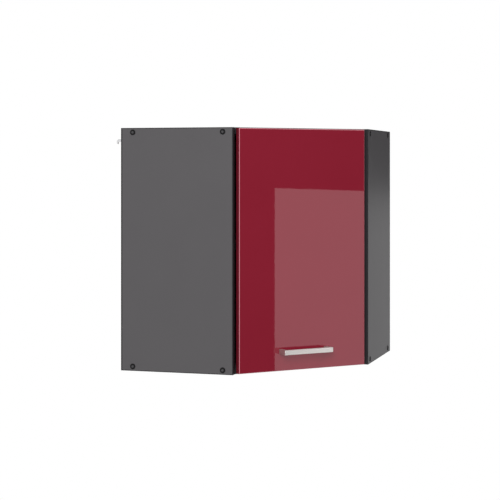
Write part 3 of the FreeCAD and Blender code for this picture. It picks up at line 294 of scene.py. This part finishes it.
def satin_handle():
    """Anodised metal brushed along the bar, a little chalky from its oxide."""
    shader = Shader("satin_handle")
    brushing = shader.stretched(scale=(25, 2600, 2600), turn=math.atan2(ACROSS.y, ACROSS.x))
    lines = shader.noise(scale=1.0, detail=4, roughness=0.6, place=brushing)
    light = srgb(216, 211, 208)
    shader.set(
        Base_Color=shader.mix(lines, shaded(light, 0.86), light),
        Metallic=0.8,
        Roughness=shader.uneven(lines, 0.34),
    )
    shader.bump(lines, strength=0.08, distance=0.0001)
    return shader.material


def plated_steel(name, low, high):
    """Plated pressed steel with faint drawing marks."""
    shader = Shader(name)
    marks = shader.noise(scale=240, detail=4)
    shader.set(
        Base_Color=shader.mix(marks, low, high),
        Metallic=1.0,
        Roughness=shader.span(marks, low=0.16, high=0.34),
    )
    shader.bump(shader.noise(scale=1200), strength=0.06, distance=0.0001)
    return shader.material


def hanger_plastic():
    """Pale moulded plastic with a spark-eroded texture."""
    shader = Shader("hanger_plastic")
    grain = shader.noise(scale=1500)
    shader.set(
        Base_Color=shader.mix(grain, srgb(196, 196, 192), srgb(212, 212, 208)),
        Roughness=shader.uneven(grain, 0.45),
    )
    shader.bump(grain, strength=0.15, distance=0.0001)
    return shader.material


def cap_plastic():
    """Screw caps: near-black plastic with a bevelled rim, and a painted highlight: the flat middle is
    painted paler.
    """
    shader = Shader("cap_plastic")
    grain = shader.noise(scale=1500)
    flat = shader.square(ALONG_X, ALONG_Y)
    rim = shader.mix(grain, srgb(7, 7, 8), srgb(14, 14, 15))
    # Painted highlight: the flat middle of each black cap is painted a paler grey
    middle = shader.mix(grain, srgb(66, 65, 67), srgb(80, 79, 81))
    shader.set(
        Base_Color=shader.mix(flat, rim, middle),
        Roughness=shader.span(grain, low=0.4, high=0.52),
        Specular_IOR_Level=0.2,
    )
    shader.bump(grain, strength=0.15, distance=0.0001)
    return shader.material


def beech():
    """Raw turned beech with short dark flecks."""
    shader = Shader("beech")
    fleck = shader.noise(scale=1.0, detail=5, roughness=0.7, place=shader.stretched(scale=(300, 300, 1500)))
    shader.set(
        Base_Color=shader.ramp(fleck, [(0.3, srgb(172, 128, 84)), (0.7, srgb(214, 176, 130))]),
        Roughness=0.7,
    )
    shader.bump(fleck, strength=0.2, distance=0.0002)
    return shader.material


def silicone():
    """Clear, slightly milky silicone."""
    shader = Shader("silicone")
    haze = shader.noise(scale=300, detail=2)
    shader.set(
        Base_Color=shader.mix(haze, srgb(214, 214, 210), srgb(232, 232, 228)),
        Roughness=shader.span(haze, low=0.25, high=0.4),
        Transmission_Weight=0.6,
        IOR=1.41,
    )
    return shader.material


# Finish and edge rounding of the CAD nodes

SIDE_ROUNDING = 0.0004
BOARD_ROUNDING = 0.0002
BAND_ROUNDINGS = {
    "left_side_edge_bands": SIDE_ROUNDING,
    "right_side_edge_bands": SIDE_ROUNDING,
    "top_edge_band": BOARD_ROUNDING,
    "bottom_edge_band": BOARD_ROUNDING,
    "shelf_edge_band": BOARD_ROUNDING,
}
ROUNDING_SEGMENTS = 2


def dress(nickel):
    """Every CAD node gets its finish."""
    paint(melamine("board_left", ALONG_X), "left_side_panel")
    paint(melamine("board_right", ALONG_Y), "right_side_panel")
    paint(melamine("board_flat", UP), "top_panel", "bottom_panel", "shelf")
    paint(melamine("board_post", ALONG_X, ALONG_Y), "corner_post")
    paint(edge_band(), *BAND_ROUNDINGS)
    paint(fibreboard("back_left", ALONG_Y), "left_back_panel")
    paint(fibreboard("back_right", ALONG_X), "right_back_panel")
    paint(door_gloss(), "door_panel")
    paint(satin_handle(), "door_handle")
    paint(cap_plastic(), "screw_cover_caps")
    paint(beech(), "wood_dowels")
    paint(silicone(), "door_bumpers")
    paint(hanger_plastic(), "left_hanger_housing", "right_hanger_housing")
    for part in subparts:
        if part["material_slot"] == "hardware_steel":
            paint(nickel, part["node"])
    zinc = plated_steel("bright_zinc", srgb(206, 206, 208), srgb(226, 226, 228))
    paint(zinc, "left_hanger_hook", "right_hanger_hook")


def soften_edges():
    """Small roundings on the edge bands, so that they catch the light as real ones do."""
    for name, width in BAND_ROUNDINGS.items():
        bevel = nodes[name].modifiers.new("rounding", "BEVEL")
        bevel.width = width
        bevel.segments = ROUNDING_SEGMENTS
        bevel.limit_method = "ANGLE"
        bevel.harden_normals = True


# Screws with cross recesses, in place of the plain ones

# Directions that the heads look in; where a node has two, each screw takes the one that it is longest along
SCREW_HEADS = {
    "hinge_cup_screws": [-OUT],
    "handle_screws": [-OUT],
    "hinge_plate_screws": [ALONG_Y],
    "hinge_arm_screws": [ALONG_Y],
    "hanger_fixing_screws": [ALONG_X, ALONG_Y],
    "left_hanger_depth_screw": [-ALONG_Y],
    "right_hanger_depth_screw": [-ALONG_X],
    "left_hanger_height_screw": [-UP],
    "right_hanger_height_screw": [-UP],
}
# Distance below which points count as one, and the least radius of a tip
SAME_PLACE = 0.00002
BLUNT_TIP = 0.0001
# Edges that turn by more than this stay sharp
SMOOTH_ANGLE = math.radians(35)
# A turned screw has two sides for each corner of its cross
CROSS_ARMS = 4
CORNERS_PER_ARM = 3
SIDES_PER_CORNER = 2
SCREW_SIDES = CROSS_ARMS * CORNERS_PER_ARM * SIDES_PER_CORNER
# Reach of the cross as a share of the head's radius; the rest as shares of that reach
CROSS_REACH = 0.42
CROSS_HALF_ARM = 0.26
CROSS_FLOOR = 0.6
CROSS_DEPTH = 0.8


def separate_solids(node):
    """The points of each separate solid in a CAD node."""
    form = bmesh.new()
    form.from_mesh(nodes[node].data)
    bmesh.ops.remove_doubles(form, verts=form.verts, dist=SAME_PLACE)
    seen = set()
    solids = []
    for start in form.verts:
        if start in seen:
            continue
        seen.add(start)
        reached = [start]
        for vert in reached:
            for edge in vert.link_edges:
                other = edge.other_vert(vert)
                if other not in seen:
                    seen.add(other)
                    reached.append(other)
        solids.append([vert.co.copy() for vert in reached])
    form.free()
    return solids


def extent(points, direction):
    """Where points begin and end along a direction."""
    places = [point.dot(direction) for point in points]
    return min(places), max(places)


def halfway(points, direction):
    """The middle of points along a direction."""
    return sum(extent(points, direction)) / 2


def length_along(points, direction):
    """How long points reach along a direction."""
    low, high = extent(points, direction)
    return high - low


class TurnedScrew:
    """A screw rebuilt on the centre line and the radii of its plain solid, from tip to head."""

    def __init__(self, form, points, axis):
        self.form = form
        self.axis = axis
        self.side = axis.orthogonal().normalized()
        self.up = axis.cross(self.side)
        self.middle = self.side * halfway(points, self.side) + self.up * halfway(points, self.up)
        self.steps = self.profile(points)

    def profile(self, points):
        """Steps of (place along the axis, radius)."""
        radii = {}
        for point in points:
            along = point.dot(self.axis)
            level = next((known for known in radii if abs(known - along) < SAME_PLACE), along)
            radii.setdefault(level, []).append((point - self.axis * along - self.middle).length)
        steps = []
        for level in sorted(radii):
            # At a shoulder the shank comes first and the head's underside after it
            inner, outer = min(radii[level]), max(radii[level])
            if inner > BLUNT_TIP and outer - inner > SAME_PLACE:
                steps.append((level, inner))
            steps.append((level, max(outer, BLUNT_TIP)))
        return steps

    def loop(self, along, spots):
        """New points at a place along the axis, from (across, above) pairs."""
        start = self.middle + self.axis * along
        return [self.form.verts.new(start + self.side * across + self.up * above) for across, above in spots]

    def wall(self, lower, upper):
        """Faces from one loop of points to the next."""
        for number in range(len(lower)):
            self.form.faces.new((lower[number - 1], lower[number], upper[number], upper[number - 1]))

    def circle(self, along, radius):
        """New points around the axis."""
        turns = [2 * math.pi * number / SCREW_SIDES for number in range(SCREW_SIDES)]
        return self.loop(along, [(radius * math.cos(turn), radius * math.sin(turn)) for turn in turns])

    def build(self):
        """The whole screw: its turned walls, its flat tip and its recessed head."""
        loops = [self.circle(along, radius) for along, radius in self.steps]
        for lower, upper in zip(loops, loops[1:]):
            self.wall(lower, upper)
        self.form.faces.new(loops[0][::-1])
        self.recess(loops[-1])

    def recess(self, top):
        """The cross recess inside the last loop of the head."""
        along = self.steps[-1][0]
        reach = CROSS_REACH * max(radius for _, radius in self.steps)
        half = CROSS_HALF_ARM * reach
        cross = []
        corners = [(reach, half), (half, half), (half, reach)]
        for _ in range(CROSS_ARMS):
            cross += corners
            corners = [(-above, across) for across, above in corners]
        small_cross = [(CROSS_FLOOR * across, CROSS_FLOOR * above) for across, above in cross]
        mouth = self.loop(along, cross)
        floor = self.loop(along - CROSS_DEPTH * reach, small_cross)
        for number in range(len(cross)):
            rim = [top[(SIDES_PER_CORNER * number + step) % SCREW_SIDES] for step in (-1, 0, 1)]
            self.form.faces.new([mouth[number - 1], *rim, mouth[number]])
        self.wall(mouth, floor)
        self.form.faces.new(floor)


def crossed_screws(material):
    """A detailed piece for each node of screws, on the same body."""
    for node, directions in SCREW_HEADS.items():
        form = bmesh.new()
        for points in separate_solids(node):
            axis = max(directions, key=lambda direction: length_along(points, direction))
            TurnedScrew(form, points, axis).build()
        mesh = bpy.data.meshes.new(f"{node}_crossed")
        form.to_mesh(mesh)
        form.free()
        mesh.materials.append(material)
        mesh.shade_smooth()
        mesh.set_sharp_from_angle(angle=SMOOTH_ANGLE)
        piece = bpy.data.objects.new(f"{node}_crossed", mesh)
        bpy.context.collection.objects.link(piece)
        body = next(name for name, members in bodies.items() if node in members)
        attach(piece, body)
        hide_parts(node)


# Studio

WHITE = (1, 1, 1, 1)
ROOM_LIGHT = 0.55
FLOOR_LEVEL = -1.4
FLOOR_SIZE = 60
FLOOR_GREY = (0.5, 0.5, 0.5, 1)
FLOOR_ROUGHNESS = 0.9
LAMPS_AIM = Vector((-0.35, -0.35, 0.3))


def card(name, left, right, drop, level):
    """A glowing or dark card hung from two top corners, which only shows in reflections."""
    down = Vector((0, 0, -drop))
    corners = [Vector(left), Vector(right), Vector(right) + down, Vector(left) + down]
    mesh = bpy.data.meshes.new(name)
    mesh.from_pydata(corners, [], [(0, 1, 2, 3)])
    sheet = bpy.data.objects.new(name, mesh)
    bpy.context.collection.objects.link(sheet)
    material = bpy.data.materials.new(name)
    material.use_nodes = True
    tree = material.node_tree
    tree.nodes.clear()
    glow = tree.nodes.new("ShaderNodeEmission")
    glow.inputs["Color"].default_value = WHITE
    glow.inputs["Strength"].default_value = level
    out = tree.nodes.new("ShaderNodeOutputMaterial")
    tree.links.new(glow.outputs[0], out.inputs["Surface"])
    mesh.materials.append(material)
    sheet.visible_camera = False
    sheet.visible_diffuse = False
    sheet.visible_shadow = False


def seen_directly(tree):
    """One for rays from the camera, mirrors and glass, zero for rays that light the object."""
    path = tree.nodes.new("ShaderNodeLightPath")
    total = path.outputs["Is Camera Ray"]
    for name in ("Is Glossy Ray", "Is Transmission Ray"):
        larger = tree.nodes.new("ShaderNodeMath")
        larger.operation = "MAXIMUM"
        tree.links.new(total, larger.inputs[0])
        tree.links.new(path.outputs[name], larger.inputs[1])
        total = larger.outputs[0]
    return total


def white_room():
    """A white world to look at, and an even soft light."""
    world = bpy.data.worlds.new("white_room")
    bpy.context.scene.world = world
    world.use_nodes = True
    tree = world.node_tree
    background = tree.nodes["Background"]
    background.inputs["Color"].default_value = WHITE
    level = tree.nodes.new("ShaderNodeMapRange")
    tree.links.new(seen_directly(tree), level.inputs["Value"])
    level.inputs["To Min"].default_value = ROOM_LIGHT
    level.inputs["To Max"].default_value = 1.0
    tree.links.new(level.outputs["Result"], background.inputs["Strength"])


def pale_floor():
    """A floor far below the hung cabinet, white to look at and grey in the light that it gives back."""
    bpy.ops.mesh.primitive_plane_add(size=FLOOR_SIZE, location=(0, 0, FLOOR_LEVEL))
    floor = bpy.context.object
    floor.name = "floor"
    material = bpy.data.materials.new("floor")
    material.use_nodes = True
    tree = material.node_tree
    surface = tree.nodes["Principled BSDF"]
    surface.inputs["Base Color"].default_value = FLOOR_GREY
    surface.inputs["Roughness"].default_value = FLOOR_ROUGHNESS
    glow = tree.nodes.new("ShaderNodeEmission")
    mix = tree.nodes.new("ShaderNodeMixShader")
    tree.links.new(seen_directly(tree), mix.inputs[0])
    tree.links.new(surface.outputs[0], mix.inputs[1])
    tree.links.new(glow.outputs[0], mix.inputs[2])
    tree.links.new(mix.outputs[0], tree.nodes["Material Output"].inputs["Surface"])
    floor.data.materials.append(material)


def soft_box(name, place, width, height, power):
    """A soft lamp aimed at the cabinet, which doesn't show in reflections."""
    data = bpy.data.lights.new(name, "AREA")
    data.shape = "RECTANGLE"
    data.size = width
    data.size_y = height
    data.energy = power
    lamp = bpy.data.objects.new(name, data)
    bpy.context.collection.objects.link(lamp)
    lamp.visible_glossy = False
    lamp.location = place
    lamp.rotation_euler = (LAMPS_AIM - Vector(place)).to_track_quat("-Z", "Y").to_euler()


def studio():
    """The room, its lamps, and what the glossy surfaces mirror."""
    white_room()
    pale_floor()
    soft_box("key", place=(-3.6, -1.0, 1.7), width=1.2, height=2.0, power=66)
    soft_box("top", place=(-0.2, -1.85, 2.75), width=2.0, height=1.2, power=22)
    # What the gloss door mirrors: a dark room, and before it a light wall that ends part of the way up
    card("door_flag", left=(-3.1, -2.7, 0.8), right=(0.5, -3.8, 0.8), drop=2.2, level=0.0)
    card("door_card", left=(-1.208, -2.938, 0.412), right=(-0.400, -1.987, 0.412), drop=1.7, level=1.85)
    # What the right side mirrors, edge on
    card("side_flag", left=(2.20, -0.56, 2.3), right=(1.40, -3.00, 2.3), drop=3.7, level=0.0)
    card("side_card", left=(1.90, -0.53, 0.4), right=(1.72, -1.41, 0.4), drop=1.8, level=0.65)


# Camera, fitted to the cabinet's edges in the photograph

CAMERA_PLACE = (-3.8388, -1.3125, 0.5036)
CAMERA_DIRECTION = Vector((0.95806, 0.28657, 0))
SENSOR_MM = 36
LENS_MM = 102.14
FRAME_SHIFT = -0.1661
FAR_LIMIT = 200


def camera():
    """The photograph's view."""
    data = bpy.data.cameras.new("camera")
    data.sensor_width = SENSOR_MM
    data.lens = LENS_MM
    data.shift_y = FRAME_SHIFT
    data.clip_end = FAR_LIMIT
    view = bpy.data.objects.new("camera", data)
    bpy.context.collection.objects.link(view)
    view.location = CAMERA_PLACE
    view.rotation_euler = CAMERA_DIRECTION.to_track_quat("-Z", "Y").to_euler()
    bpy.context.scene.camera = view


hardware = plated_steel("nickel", srgb(176, 174, 170), srgb(204, 202, 198))
dress(hardware)
soften_edges()
crossed_screws(hardware)
studio()
camera()
bpy.context.scene.view_settings.view_transform = "Standard"
